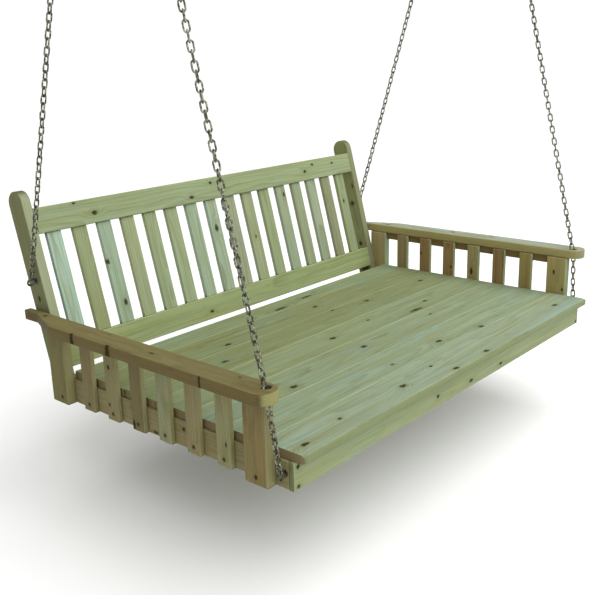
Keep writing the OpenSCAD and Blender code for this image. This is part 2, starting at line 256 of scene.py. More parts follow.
def timber_group():
    """Growth rings, fibres, stains, knots and pale edge rims of a sawn board, by the board's own X, Y and Z;
    the rims are partly wear and partly painted highlight, and the broad and narrow faces' own colours partly
    paint light and shade.
    """
    tree, g, given, out = group_of(
        "timber",
        {"Position": "V", "Normal": "V", "Half": "V", "Pith": "V", "Drift": "V", "Spacing": "F",
         "Push": "F", "Core": "F", "Rim": "F", "Halo": "F", "Turn": "F",
         "Main": "C", "Edge": "C", "Front": "C", "Tan": "F", "Cool": "F", "Weather": "F", "Contrast": "F"},
        {"Color": "C", "Roughness": "F", "Specular": "F", "Height": "F"})
    place = given["Position"]
    x, y, z = g.split(place)
    half_x, half_y, _ = g.split(given["Half"])
    pith_x, pith_y, pith_z = g.split(given["Pith"])
    _, drift_y, drift_z = g.split(given["Drift"])
    seeded = g.vector("ADD", place, g.join(g.math("MULTIPLY", pith_x, 7.0), pith_x, pith_y))

    wander = g.math("SUBTRACT", g.noise(g.stretch(seeded, (1.1, 5.0, 5.0)), 1.6, 2.0), 0.5)
    ripple = g.math("SUBTRACT", g.noise(g.stretch(seeded, (4.0, 30.0, 30.0)), 1.0, 2.0), 0.5)
    dy = g.math("SUBTRACT", g.math("SUBTRACT", y, pith_y), g.math("MULTIPLY", x, drift_y))
    dz = g.math("SUBTRACT", g.math("SUBTRACT", z, pith_z), g.math("MULTIPLY", x, drift_z))
    radius = g.vector("LENGTH", g.join(0.0, dy, dz))
    radius = g.math("ADD", radius, g.math("MULTIPLY", wander, 0.034))
    radius = g.math("ADD", radius, g.math("MULTIPLY", ripple, 0.0035))
    radius = g.math("ADD", radius, g.math("MULTIPLY", given["Push"], 2.6))
    year = g.math("DIVIDE", radius, given["Spacing"])
    within = g.math("FRACT", year)
    uneven = g.noise(g.join(0.0, 0.0, g.math("FLOOR", year)), 0.37, 0.0)
    late = g.math("MULTIPLY", g.math("POWER", within, 2.4), g.ease(within, 1.0, 0.93))
    late = g.math("MULTIPLY", late, g.ease(uneven, 0.25, 0.75, 0.45, 1.3))

    fibre = g.noise(g.stretch(seeded, (5.0, 420.0, 420.0)), 1.0, 3.0, 0.65)
    streak = g.noise(g.stretch(seeded, (1.5, 55.0, 55.0)), 1.0, 3.0, 0.62)
    warm = g.noise(g.stretch(seeded, (1.0, 24.0, 24.0)), 1.7, 3.0, 0.6)
    broad = g.noise(g.stretch(seeded, (1.3, 6.0, 6.0)), 2.1, 3.0, 0.55)
    pore = g.noise(g.stretch(seeded, (28.0, 900.0, 900.0)), 1.0, 1.0)
    smudge = g.noise(g.stretch(seeded, (3.0, 12.0, 12.0)), 2.3, 4.0, 0.62)

    lengthwise, sideways, _ = g.split(given["Normal"])
    # Narrow faces take the Edge colour and broad ones the Main colour: partly painted light and shade, which
    # fall differently on them
    narrow = g.ease(g.math("ABSOLUTE", sideways), 0.40, 0.85)
    main = g.mix(narrow, given["Main"], given["Edge"])
    early = g.vector("MULTIPLY", main, (1.16, 1.15, 1.20))
    dark = g.vector("MULTIPLY", main, (0.68, 0.64, 0.50))
    tone = g.math("ADD", late, g.math("MULTIPLY", g.math("SUBTRACT", streak, 0.5), 1.5))
    tone = g.math("ADD", g.math("MULTIPLY", tone, given["Contrast"]), 0.16, clamp=True)
    colour = g.mix(tone, early, dark)
    tan = g.math("MULTIPLY", g.ease(warm, 0.47, 0.72), given["Tan"])
    colour = g.mix(tan, colour, g.vector("MULTIPLY", colour, (0.98, 0.82, 0.52)))
    cool = g.math("MULTIPLY", g.ease(broad, 0.47, 0.70), given["Cool"])
    colour = g.mix(cool, colour, g.vector("MULTIPLY", colour, (0.98, 1.06, 1.28)))
    stain = g.math("MULTIPLY", g.ease(smudge, 0.52, 0.74), given["Weather"])
    colour = g.mix(stain, colour, g.vector("MULTIPLY", colour, (0.72, 0.70, 0.52)))
    fleck = g.math("MULTIPLY", g.ease(fibre, 0.28, 0.75, 1.12, 0.85), g.ease(pore, 0.62, 0.8, 1.0, 0.84))
    colour = g.vector("MULTIPLY", colour, g.join(fleck, fleck, fleck))

    ends = g.ease(g.math("ABSOLUTE", lengthwise), 0.45, 0.8)
    colour = g.mix(g.ease(lengthwise, 0.45, 0.8), colour, g.vector("MULTIPLY", colour, (0.60, 0.54, 0.44)))
    front = g.vector("MULTIPLY", given["Front"], g.join(fleck, fleck, fleck))
    colour = g.mix(g.ease(lengthwise, -0.45, -0.8), colour, front)
    # A paler rim along the arrises: partly wear, partly painted highlight where light catches the rounded
    # edges
    to_side = g.math("SUBTRACT", half_y, g.math("ABSOLUTE", y))
    to_end = g.math("SUBTRACT", half_x, g.math("ABSOLUTE", x))
    chewed = g.math("MULTIPLY", g.math("SUBTRACT", g.noise(place, 60.0, 3.0, 0.6), 0.5), 0.006)
    rim = g.math("ADD", g.math("MINIMUM", to_side, to_end), chewed)
    wear_and_highlight = g.math("MULTIPLY", g.ease(rim, 0.0042, 0.0008), g.math("SUBTRACT", 1.0, ends))
    colour = g.mix(g.math("MULTIPLY", wear_and_highlight, 0.45), colour, g.vector("MULTIPLY", main, (1.42, 1.38, 1.45)))

    halo = g.math("MULTIPLY", given["Halo"], 0.42, clamp=True)
    colour = g.mix(halo, colour, g.vector("MULTIPLY", colour, (0.66, 0.60, 0.42)))
    rings = g.math("FRACT", g.math("MULTIPLY", given["Turn"], 3.5))
    heart = g.mix(rings, rgb(64, 62, 28), rgb(40, 38, 16))
    colour = g.mix(g.math("MULTIPLY", given["Core"], 0.92, clamp=True), colour, heart)
    colour = g.mix(g.math("MULTIPLY", given["Rim"], 0.4, clamp=True), colour, rgb(44, 40, 18))

    g.feed(out["Color"], colour)
    rough = g.math("ADD", g.ease(late, 0.0, 1.0, 0.74, 0.58), g.math("MULTIPLY", fibre, 0.14))
    g.feed(out["Roughness"], g.math("ADD", rough, g.math("MULTIPLY", given["Core"], 0.15), clamp=True))
    g.feed(out["Specular"], g.ease(given["Core"], 0.0, 0.7, 0.32, 0.04))
    height = g.math("ADD", g.math("MULTIPLY", late, 0.45), g.math("MULTIPLY", fibre, 0.5))
    height = g.math("ADD", height, g.math("MULTIPLY", given["Core"], 0.8))
    height = g.math("SUBTRACT", height, g.math("MULTIPLY", given["Rim"], 1.2))
    g.feed(out["Height"], g.math("SUBTRACT", height, g.math("MULTIPLY", pore, 0.25)))
    return tree


KNOT = knot_group()
TIMBER = timber_group()
CHANNELS = ("Push", "Core", "Rim", "Halo", "Turn")
ROUND_KNOT, LONG_KNOT = 1.7, 4.5

# Each board's colour in good light, on its broad faces and on its narrow ones, as 8-bit sRGB; giving broad
# and narrow faces colours of their own partly paints the light and shade that fall differently on them (a
# third tone is that of the board's first end: an armrest's front, the deck's left)
# The deck boards' pale narrow-face tones paint the highlight where light catches their rounded edges at the
# seams
SEAM_HIGHLIGHT_TONE = (164, 177, 140)
DECK_TONES = (
    ((149, 166, 136), (124, 136, 93)),
    ((143, 161, 127), SEAM_HIGHLIGHT_TONE),
    ((138, 154, 118), SEAM_HIGHLIGHT_TONE),
    ((135, 150, 109), SEAM_HIGHLIGHT_TONE),
    ((128, 139, 93), (160, 172, 136)),
    ((128, 138, 93), (150, 160, 120)),
    ((135, 149, 106), (140, 150, 110)),
)
DECK_END_TONE = (128, 114, 76)
APRON_TONE, JOIST_TONE = (151, 165, 121), (140, 142, 100)
BACK_TONES = (
    (168, 193, 170), (147, 157, 110), (155, 177, 150), (155, 166, 124),
    (150, 165, 124), (151, 166, 126), (155, 175, 146), (156, 175, 146),
    (151, 161, 129), (151, 163, 123), (147, 161, 119), (149, 164, 133),
    (146, 158, 121), (153, 167, 135), (141, 148, 112), (144, 156, 112),
)
BACK_RAIL_TONES = {"back_top_rail": (148, 163, 120), "back_bottom_rail": (147, 161, 108)}
POST_BROAD = {"left": (120, 123, 81), "right": (136, 142, 89)}
POST_NARROW = {"left": (147, 156, 121), "right": (126, 130, 94)}
ARM_NARROW = {"left": (139, 137, 92), "right": (138, 155, 117)}
ARMREST_TONES = {"left": ((119, 111, 63), (101, 88, 45), (152, 150, 94)),
                 "right": ((153, 163, 137), (166, 158, 102), (150, 148, 104))}
ARM_TONES = {
    "left": {
        "front": (135, 122, 75), "rear": (119, 115, 67), "rail": (116, 104, 60),
        "slats": ((150, 150, 104), (145, 138, 97), (144, 149, 109),
                  (120, 111, 69), (138, 132, 89), (131, 121, 80)),
    },
    # The right arm's tones are lightened to make up for the shade between its slats and under its armrest:
    # painted light
    "right": {
        "front": (176, 164, 105), "rear": (179, 165, 111), "rail": (139, 114, 68),
        "slats": ((169, 152, 90), (158, 131, 83), (173, 162, 111),
                  (162, 135, 84), (161, 132, 80), (160, 142, 94)),
    },
}
ARM_WEATHER = {"left": 0.8, "right": 0.35}
SIDE_APRON_TONE = (141, 134, 91)


def blank_material(name):
    made = bpy.data.materials.new(name)
    made.use_nodes = True
    made.node_tree.nodes.clear()
    return made, Graph(made.node_tree)


def timber(name, tones, rng, knots, half, tan=0.55, cool=0.5, weather=0.35, contrast=0.62):
    """A board's own material: its cut from the log, its colours, and its knots and other dark marks, painted
    shade among them (x, y, radius, stretch).
    """
    made, g = blank_material(name)
    here = g.node("ShaderNodeTexCoord").outputs
    sums = dict.fromkeys(CHANNELS, 0.0)
    for x, y, radius, stretch in knots:
        one = g.node("ShaderNodeGroup", node_tree=KNOT)
        for socket, value in (("Position", here["Object"]), ("X", x), ("Y", y), ("Radius", radius),
                              ("Stretch", stretch)):
            g.feed(one.inputs[socket], value)
        for channel in CHANNELS:
            value = one.outputs[channel]
            sums[channel] = value if sums[channel] == 0.0 else g.math("ADD", sums[channel], value)
    main, edge, *rest = tones
    front = rgb(*rest[0]) if rest else tuple(a * b for a, b in zip(rgb(*main), (0.60, 0.54, 0.44, 1.0)))
    core = g.node("ShaderNodeGroup", node_tree=TIMBER)
    values = {
        "Position": here["Object"], "Normal": here["Normal"], "Half": half,
        "Pith": (rng.uniform(1, 9), rng.uniform(-0.05, 0.05), -rng.uniform(0.02, 0.10)),
        "Drift": (0.0, rng.uniform(-0.012, 0.012), rng.uniform(-0.014, 0.014)),
        "Spacing": rng.uniform(0.0045, 0.0085), "Main": rgb(*main), "Edge": rgb(*edge), "Front": front,
        "Tan": tan, "Cool": cool, "Weather": weather, "Contrast": contrast, **sums,
    }
    for socket, value in values.items():
        g.feed(core.inputs[socket], value)
    bump = g.node("ShaderNodeBump", {"Height": core.outputs["Height"], "Strength": 0.35, "Distance": 0.0008})
    shader = g.node("ShaderNodeBsdfPrincipled", {
        "Base Color": core.outputs["Color"], "Roughness": core.outputs["Roughness"],
        "Normal": bump.outputs["Normal"], "Specular IOR Level": core.outputs["Specular"]})
    g.node("ShaderNodeOutputMaterial", {"Surface": shader.outputs["BSDF"]})
    return made


# ---- Steel ----


def steel(name, base, stain, rough, spots_per_metre, clean):
    """Dull zinc-plated steel, spotted with a darker stain; a smaller clean leaves more of it stained. On the
    chain the dark spots also paint shade and dark reflections.
    """
    made, g = blank_material(name)
    place = g.node("ShaderNodeTexCoord").outputs["Object"]
    cloudy = g.noise(place, spots_per_metre, 4.0, 0.6)
    fine = g.noise(place, 900.0, 3.0, 0.6)
    spots = g.math("MULTIPLY", g.ease(cloudy, clean, clean + 0.16), g.ease(fine, 0.3, 0.7, 0.6, 1.0))
    colour = g.mix(spots, base, stain)
    roughness = g.ease(cloudy, 0.3, 0.7, rough - 0.06, rough + 0.12)
    roughness = g.math("ADD", roughness, g.math("MULTIPLY", fine, 0.08))
    bump = g.node("ShaderNodeBump", {"Height": fine, "Strength": 0.3, "Distance": 0.0002})
    shader = g.node("ShaderNodeBsdfPrincipled", {
        "Base Color": colour, "Roughness": roughness, "Metallic": 0.85, "Normal": bump.outputs["Normal"]})
    g.node("ShaderNodeOutputMaterial", {"Surface": shader.outputs["BSDF"]})
    return made


# The chain's dark spots are partly stain, partly painted shade and dark reflections between its links
CHAIN_STEEL = steel("chain_zinc", rgb(176, 180, 156), rgb(15, 14, 8), 0.34, 95.0, 0.405)
FITTING_STEEL = steel("fitting_zinc", rgb(120, 118, 100), rgb(30, 27, 19), 0.36, 110.0, 0.43)
HANGER_STEEL = steel("hanger_zinc", rgb(150, 150, 138), rgb(62, 58, 46), 0.34, 85.0, 0.48)
SCREW_STEEL = steel("screw_dark", rgb(52, 45, 34), rgb(26, 22, 16), 0.5, 85.0, 0.46)


# ---- Pieces ----


def in_scene(name, data):
    """A new object in the scene."""
    made = bpy.data.objects.new(name, data)
    bpy.context.scene.collection.objects.link(made)
    return made


def finished(name, mesh, place, body, nodes, material):
    """Puts a mesh in the row's frame as a piece of the object."""
    piece = in_scene(name, mesh)
    piece.matrix_world = place
    mesh.materials.append(material)
    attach(piece, body)
    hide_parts(*nodes)
    return piece


def mesh_from(name, verts, faces, smooth=True):
    mesh = bpy.data.meshes.new(name)
    mesh.from_pydata([tuple(v) for v in verts], [], faces)
    mesh.validate()
    mesh.polygons.foreach_set("use_smooth", [smooth] * len(mesh.polygons))
    mesh.update()
    return mesh


# ---- Boards ----

ROUND = 0.0032
STEP = 0.018
ARC_STEPS = 4
SUPPORT = 0.0012


def walk(points):
    """A closed outline with points every STEP or so along its straight stretches."""
    out = []
    for a, b in zip(points, points[1:] + points[:1]):
        count = max(1, round((b - a).length / STEP))
        out += [a.lerp(b, k / count) for k in range(count)]
    return out


def arc(centre, radius, start, end, count):
    """Points on an arc, with angles in degrees."""
    turns = [math.radians(start + (end - start) * k / count) for k in range(count + 1)]
    return [Vector((centre[0] + radius * math.cos(t), centre[1] + radius * math.sin(t))) for t in turns]


def rectangle(length, width):
    a, b = length / 2, width / 2
    return [Vector(p) for p in ((-a, -b), (a, -b), (a, b), (-a, b))]


def inward(points):
    """The way in from each point of an anticlockwise outline, longer at a corner."""
    out = []
    for before, here, after in zip(points[-1:] + points[:-1], points, points[1:] + points[:1]):
        first, second = (here - before).normalized(), (after - here).normalized()
        way = Vector((-first.y, first.x)) + Vector((-second.y, second.x))
        out.append(way / max(way.length_squared / 2, 0.35))
    return out


def eased(radius):
    """The section round an arris, from a face's flat to the side, as (way in, way down) pairs."""
    turns = [math.pi / 2 * k / ARC_STEPS for k in range(ARC_STEPS + 1)]
    curve = [(radius * (1 - math.sin(t)), radius * (1 - math.cos(t))) for t in turns]
    return [(radius + SUPPORT, 0.0), *curve]


def board_mesh(name, outline, thickness, rounding, seed, hole=None):
    """A board by its anticlockwise outline: eased arrises that wander a little, and flat faces."""
    bm = bmesh.new()
    outer = walk(outline)
    loops = [(outer, inward(outer))]
    if hole:
        loops.append((hole, [-way for way in inward(hole)]))
    rims = {1: [], -1: []}
    for points, ways in loops:
        columns = []
        for point, way in zip(points, ways):
            column = []
            for face in (-1, 1):
                wear = noise.noise(Vector((point.x * 9, point.y * 9, seed + face)))
                fine = noise.noise(Vector((point.x * 70, point.y * 70, seed - face)))
                radius = rounding(point) * (1 + 0.30 * wear + 0.16 * fine)
                radius = min(radius, thickness / 2 - 0.0002)
                section = [(point + way * move, face * (thickness / 2 - drop))
                           for move, drop in eased(radius)]
                column += section if face < 0 else section[::-1]
            columns.append([bm.verts.new((spot.x, spot.y, height)) for spot, height in column])
        for here, after in zip(columns, columns[1:] + columns[:1]):
            for k in range(len(here) - 1):
                corners = [here[k], after[k], after[k + 1], here[k + 1]]
                bm.faces.new(corners if points is outer else corners[::-1])
        rims[-1].append([column[0] for column in columns])
        rims[1].append([column[-1] for column in columns])
    for rings in rims.values():
        edges = [bm.edges.get((a, b)) for ring in rings for a, b in zip(ring, ring[1:] + ring[:1])]
        bmesh.ops.triangle_fill(bm, edges=edges, use_beauty=True)
    bmesh.ops.recalc_face_normals(bm, faces=bm.faces[:])
    mesh = bpy.data.meshes.new(name)
    bm.to_mesh(mesh)
    bm.free()
    mesh.polygons.foreach_set("use_smooth", [True] * len(mesh.polygons))
    return mesh


def scattered_knots(rng, length, width):
    """A few knots in random places, clear of the ends."""
    count = rng.choice((2, 3, 3, 4)) if length > 0.6 else rng.choice((0, 0, 1, 1, 2))
    return [(rng.uniform(-0.46, 0.46) * length, rng.uniform(-0.38, 0.38) * width, rng.uniform(0.003, 0.007),
             rng.choice((1.2, ROUND_KNOT, 2.4))) for _ in range(count)]


def board(name, node, tones, slot, centre, along, across, size, *, outline=None, hole=None, knots=None,
          rounding=None, more_marks=(), **grain):
    """One board of the seat, in place of its CAD node."""
    rng = random.Random(name)
    length, width, thickness = size
    if knots is None:
        knots = scattered_knots(rng, length, width)
    mesh = board_mesh(name, outline or rectangle(length, width), thickness,
                      rounding or (lambda point: ROUND), rng.uniform(0, 50), hole)
    half = (length / 2, width / 2, thickness / 2)
    material = timber(name, tones, rng, [*knots, *more_marks], half, **grain)
    return finished(name, mesh, SEAT @ axes(centre, along, across), SWING, [node], material)


# A dark ring round each screw: partly stain, partly painted shade of its countersink
SCREW_STAIN_AND_SHADE_R = 0.0065

# Where the deck's larger knots are, from the seat's middle and front, with their radii
DECK_KNOTS = (
    (-0.419, 0.770, 9), (0.157, 0.816, 8), (0.363, 0.690, 8), (0.782, 0.680, 8), (0.047, 0.918, 8),
    (0.249, 0.948, 7), (-0.555, 0.646, 8), (-0.123, 0.493, 9), (0.376, 0.438, 8), (0.510, 0.480, 7),
    (-0.127, 0.340, 9), (-0.584, 0.290, 9), (0.091, 0.148, 9), (0.342, 0.108, 8), (-0.886, -0.017, 8),
    (-0.358, 0.006, 9), (0.779, 0.000, 9), (-0.114, -0.050, 8), (0.105, -0.047, 8), (0.161, 0.723, 5),
    (0.141, 0.518, 5), (0.363, 0.358, 5), (-0.215, 0.148, 5), (-0.688, 0.013, 5), (-0.150, 0.030, 5),
)

# Knots on the armrests' edges away from the seat on the left and towards it on the right: depth and radius
ARMREST_KNOTS = {"left": ((0.849, 0.006), (0.657, 0.007), (0.231, 0.0025)), "right": ()}

# Knots in the back's rails and slats, from the seat's middle and up the lean, with their radii
BACK_KNOTS = (
    (-0.667, 0.509, 7), (-0.746, 0.556, 4), (-0.178, 0.495, 6), (-0.058, 0.541, 5), (0.621, 0.539, 5),
    (0.560, 0.513, 7), (0.772, 0.531, 5), (-0.211, 0.010, 6), (-0.652, 0.317, 5), (-0.618, 0.149, 8),
    (-0.071, 0.347, 8), (0.389, 0.428, 6), (0.456, 0.103, 6), (0.815, 0.333, 5), (0.151, 0.270, 4),
)
LONG_KNOTS = ((0.047, 0.918), (0.249, 0.948), (0.376, 0.438))

# Painted shade at the right back post's foot, under the back's bottom rail beside the deck, and a dark spot
# higher up, low on the post: up the lean, across it, radius and stretch
RIGHT_POST_SHADE_AND_STAIN = ((-0.040, 0.004, 0.024, 1.6), (0.096, 0.006, 0.009, 1.2))


def deck():
    for i in range(DECK_FULL_BOARDS + 1):
        front = DECK_NOSE_Y + i * DECK_BOARD_W + (DECK_SEAM / 2 if i else 0)
        back = front + DECK_BOARD_W - (DECK_SEAM if i else DECK_SEAM / 2)
        if i == DECK_FULL_BOARDS:
            back = DECK_BACK_Y
        centre = Vector((0, (front + back) / 2, DECK_TOP - DECK_T / 2))
        knots = [(x, y - centre.y, r / 1000, LONG_KNOT if (x, y) in LONG_KNOTS else ROUND_KNOT)
                 for x, y, r in DECK_KNOTS if front <= y < back]

        def rounding(point, nose=front - centre.y, first=i == 0):
            seam_edge = 0.0016
            if not first:
                return seam_edge
            return seam_edge + (DECK_NOSE_R - seam_edge) * max(0.0, 1 - (point.y - nose) / 0.012)

        name = f"deck_board_{i + 1:02d}"
        board(name, name, (*DECK_TONES[i], DECK_END_TONE), "deck_timber", centre, X, Y,
              (2 * DECK_HALF_L, back - front, DECK_T), knots=knots, rounding=rounding,
              tan=0.80, cool=0.95, weather=0.55, contrast=0.66)


def aprons():
    depth = DECK_BACK_Y - FRAME_T - FRAME_FRONT_Y
    mid_z = APRON_LOW + FRAME_W / 2
    # The front apron's screw rings are partly stain, partly painted countersink shade
    board("front_apron", "front_apron", (APRON_TONE, APRON_TONE), "deck_timber",
          Vector((0, (APRON_FRONT_Y + FRAME_FRONT_Y) / 2, mid_z)), X, Z, (2 * HALF_W, FRAME_W, SLAT_T),
          more_marks=[(sign * (HALF_W - FRAME_T / 2), z - mid_z, SCREW_STAIN_AND_SHADE_R, 1.0)
                      for sign in SIDES.values() for z in APRON_SCREW_ZS])
    board("rear_apron", "rear_apron", (JOIST_TONE, JOIST_TONE), "deck_timber",
          Vector((0, DECK_BACK_Y - FRAME_T / 2, mid_z)), X, Z, (2 * (HALF_W - FRAME_T), FRAME_W, FRAME_T))
    for i, x in enumerate(JOIST_XS):
        name = f"joist_{i + 1:02d}"
        board(name, name, (JOIST_TONE, JOIST_TONE), "deck_timber",
              Vector((x, FRAME_FRONT_Y + depth / 2, mid_z)), Y, Z, (depth, FRAME_W, FRAME_T))
    low_end = BACK_Y + (APRON_LOW - BACK_Z) * math.tan(LEAN)
    high_end = BACK_Y + (APRON_LOW + FRAME_W - BACK_Z) * math.tan(LEAN)
    for side, sign in SIDES.items():
        middle = (FRAME_FRONT_Y + high_end) / 2
        a, b = FRAME_FRONT_Y - middle, high_end - middle
        foot = low_end - middle
        half = FRAME_W / 2
        corners = [(a, -half), (foot, -half), (b, half), (a, half)]
        if sign < 0:
            corners = [(-x, y) for x, y in corners[::-1]]
        board(f"side_apron_{side}", f"side_apron_{side}", (SIDE_APRON_TONE, SIDE_APRON_TONE), "deck_timber",
              Vector((sign * (HALF_W - FRAME_T / 2), middle, mid_z)), sign * Y, Z,
              (high_end - FRAME_FRONT_Y, FRAME_W, FRAME_T), outline=[Vector(c) for c in corners])


def armrest_outline(sign):
    """Seen from above with X along the armrest backwards and Y towards the seat, for the right arm."""
    half, r = ARMREST_W / 2, ARMREST_CORNER_R
    front, back = -ARMREST_L / 2, ARMREST_L / 2
    taper_start, taper_end = (y - ARMREST_MID_Y for y in ARMREST_TAPER_YS)
    outer = arc((front + r, -half + r), r, 180, 270, 8)
    inner = arc((front + r, half - r), r, 90, 180, 8)
    points = outer + [Vector((taper_start, -half)), Vector((taper_end, half - ARMREST_TAIL_W)),
                      Vector((back, half - ARMREST_TAIL_W)), Vector((back, half))] + inner
    return points if sign > 0 else [Vector((p.x, -p.y)) for p in points[::-1]]


def arm_slat_ys():
    """The middles of an arm's slats, evenly spaced between its posts."""
    gap = (REAR_POST_Y - FRONT_POST_Y - FRAME_W - ARM_SLATS * SLAT_W) / (ARM_SLATS + 1)
    return [FRONT_POST_Y + FRAME_W + gap + i * (SLAT_W + gap) + SLAT_W / 2 for i in range(ARM_SLATS)]


def arms():
    mid_z = (ARM_LOW + ARM_TOP) / 2
    height = ARM_TOP - ARM_LOW
    screw_x = SCREW_LOW_Z - mid_z
    for side, sign in SIDES.items():
        rest_x = HALF_W + ARMREST_REVEAL + ARMREST_W / 2
        hole_at = Vector((CHAIN_HOLE_Y - ARMREST_MID_Y, sign * (rest_x - FRONT_CHAIN_X)))
        hole = arc(hole_at, CHAIN_HOLE_R, 0, 348.75, 31)
        board(f"armrest_{side}", f"armrest_{side}", ARMREST_TONES[side], "arm_timber",
              Vector((sign * rest_x, ARMREST_MID_Y, ARM_TOP / 2)), Y, -X, (ARMREST_L, ARMREST_W, FRAME_T),
              outline=armrest_outline(sign), hole=hole, rounding=lambda point: 0.0045,
              more_marks=[(y - ARMREST_MID_Y, ARMREST_W / 2, r, 1.4) for y, r in ARMREST_KNOTS[side]],
              weather=ARM_WEATHER[side])
        tones = ARM_TONES[side]
        # Each post's screw ring is partly stain, partly painted countersink shade
        for end, y in (("front", FRONT_POST_Y), ("rear", REAR_POST_Y)):
            name = f"arm_{end}_post_{side}"
            board(name, name, (tones[end], ARM_NARROW[side]), "arm_timber",
                  Vector((sign * (HALF_W + FRAME_T / 2), y + FRAME_W / 2, mid_z)), Z, -sign * Y,
                  (height, FRAME_W, FRAME_T), weather=ARM_WEATHER[side],
                  more_marks=[(screw_x, sign * FRAME_W / 6 if end == "rear" else 0.0, SCREW_STAIN_AND_SHADE_R, 1.0)])
        rail_l = REAR_POST_Y - FRONT_POST_Y - FRAME_W
        name = f"arm_upper_rail_{side}"
        board(name, name, (tones["rail"], tones["rail"]), "arm_timber",
              Vector((sign * (HALF_W + 1.5 * SLAT_T), FRONT_POST_Y + FRAME_W + rail_l / 2,
                      ARM_TOP - ARM_RAIL_H / 2)),
              sign * Y, Z, (rail_l, ARM_RAIL_H, SLAT_T))
        # Each slat's screw ring is partly stain, partly painted countersink shade
        for i, y in enumerate(arm_slat_ys()):
            board(f"arm_slat_{side}_{i + 1}", f"arm_slats_{side}",
                  (tones["slats"][i], ARM_NARROW[side]), "arm_timber",
                  Vector((sign * (HALF_W + SLAT_T / 2), y, mid_z)), Z, -sign * Y, (height, SLAT_W, SLAT_T),
                  weather=ARM_WEATHER[side], more_marks=[(screw_x, 0.0, SCREW_STAIN_AND_SHADE_R, 1.0)])


def back():
    low_s = (ARM_LOW - BACK_Z) / math.cos(LEAN)
    half = FRAME_W / 2
    for side, sign in SIDES.items():
        middle = (POST_TOP_S + low_s) / 2
        foot = low_s - middle
        rise = FRAME_W * math.tan(LEAN)
        top = arc((POST_TOP_S - half - middle, 0), half, -90, 90, 20)
        ends = [Vector((foot, half)), Vector((foot + rise, -half))]
        if sign < 0:
            ends = [Vector((foot + rise, half)), Vector((foot, -half))]
        # The right post gets painted shade at its foot and a dark spot, as dark marks in its timber
        stain = []
        if sign > 0:
            stain = [(s - middle, x, r, stretch) for s, x, r, stretch in RIGHT_POST_SHADE_AND_STAIN]
        board(f"back_post_{side}", f"back_post_{side}", (POST_BROAD[side], POST_NARROW[side]), "back_timber",
              on_back(sign * (HALF_W - FRAME_T / 2), half, middle), UP_BACK, -sign * DEEP_BACK,
              (POST_TOP_S - low_s, FRAME_W, FRAME_T), outline=top + ends, more_marks=stain,
              rounding=lambda point: 0.0045)
    for name, s in (("back_top_rail", TOP_RAIL_S), ("back_bottom_rail", BOTTOM_RAIL_S)):
        middle = s + RAIL_H / 2
        knots = [(x, up - middle, r / 1000, ROUND_KNOT) for x, up, r in BACK_KNOTS if s < up < s + RAIL_H]
        size = (2 * (HALF_W - FRAME_T), RAIL_H, FRAME_T)
        board(name, name, (BACK_RAIL_TONES[name], BACK_RAIL_TONES[name]), "back_timber",
              on_back(0, FRAME_T / 2, middle), X, UP_BACK, size, knots=knots)
    slat_low = BOTTOM_RAIL_S + RAIL_H
    middle = (slat_low + TOP_RAIL_S) / 2
    for i in range(BACK_SLATS):
        mid_x = -HALF_W + FRAME_T + BACK_GAP + i * BACK_PITCH + SLAT_W / 2
        knots = [(up - middle, mid_x - x, r / 1000, ROUND_KNOT) for x, up, r in BACK_KNOTS
                 if abs(x - mid_x) < SLAT_W / 2 and slat_low < up < TOP_RAIL_S]
        name = f"back_slat_{i + 1:02d}"
        board(name, name, (BACK_TONES[i], BACK_TONES[i]), "back_timber",
              on_back(mid_x, FRAME_T / 2, middle), UP_BACK, -X,
              (TOP_RAIL_S - slat_low, SLAT_W, SLAT_T), knots=knots)


# ---- Chains ----

LINK_ARC = 12
LINK_ROUND = 10


def link_points():
    """A link's centre line in its own YZ plane, lower joint at the origin, with each point's wire radius."""
    end = PITCH / 2 + LINK_CROSS - LINK_R
    wire = WIRE_D / 2
    line = []
    for k in range(LINK_ARC + 1):
        turn = math.pi * k / LINK_ARC
        line.append((LINK_R * math.cos(turn), end + LINK_R * math.sin(turn), wire))
    for k in range(1, 4):
        line.append((-LINK_R, end - 2 * end * k / 4, wire))
    for k in range(LINK_ARC + 1):
        turn = math.pi + math.pi * k / LINK_ARC
        line.append((LINK_R * math.cos(turn), -end + LINK_R * math.sin(turn), wire))
    weld = ((0.30, 1.0), (0.42, 1.10), (0.50, 1.20), (0.58, 1.10), (0.70, 1.0))
    line += [(LINK_R, -end + 2 * end * share, wire * swell) for share, swell in weld]
    return line


def skin(rings, count, closed=False):
    """Faces over a row of rings of count verts each; an open row gets a cap at both ends."""
    faces = []
    for i in range(rings if closed else rings - 1):
        a, b = i * count, (i + 1) % rings * count
        faces += [(a + k, a + (k + 1) % count, b + (k + 1) % count, b + k) for k in range(count)]
    if not closed:
        faces += [tuple(range(count))[::-1], tuple(range((rings - 1) * count, rings * count))]
    return faces


def spoke(radius, turn, height):
    """A point round Z; turn is in whole turns."""
    angle = 2 * math.pi * turn
    return Vector((radius * math.cos(angle), radius * math.sin(angle), height))


def tube(points, radii, normals, count, closed=True):
    """Verts and faces of a tube along points in space; each point has a radius and one cross direction."""
    verts = []
    size = len(points)
    for i, (point, radius, normal) in enumerate(zip(points, radii, normals)):
        ahead = points[(i + 1) % size] if closed or i < size - 1 else point
        behind = points[i - 1] if closed or i else point
        binormal = (ahead - behind).normalized().cross(normal)
        for k in range(count):
            turn = 2 * math.pi * k / count
            verts.append(point + radius * (math.cos(turn) * normal + math.sin(turn) * binormal))
    return verts, skin(size, count, closed)


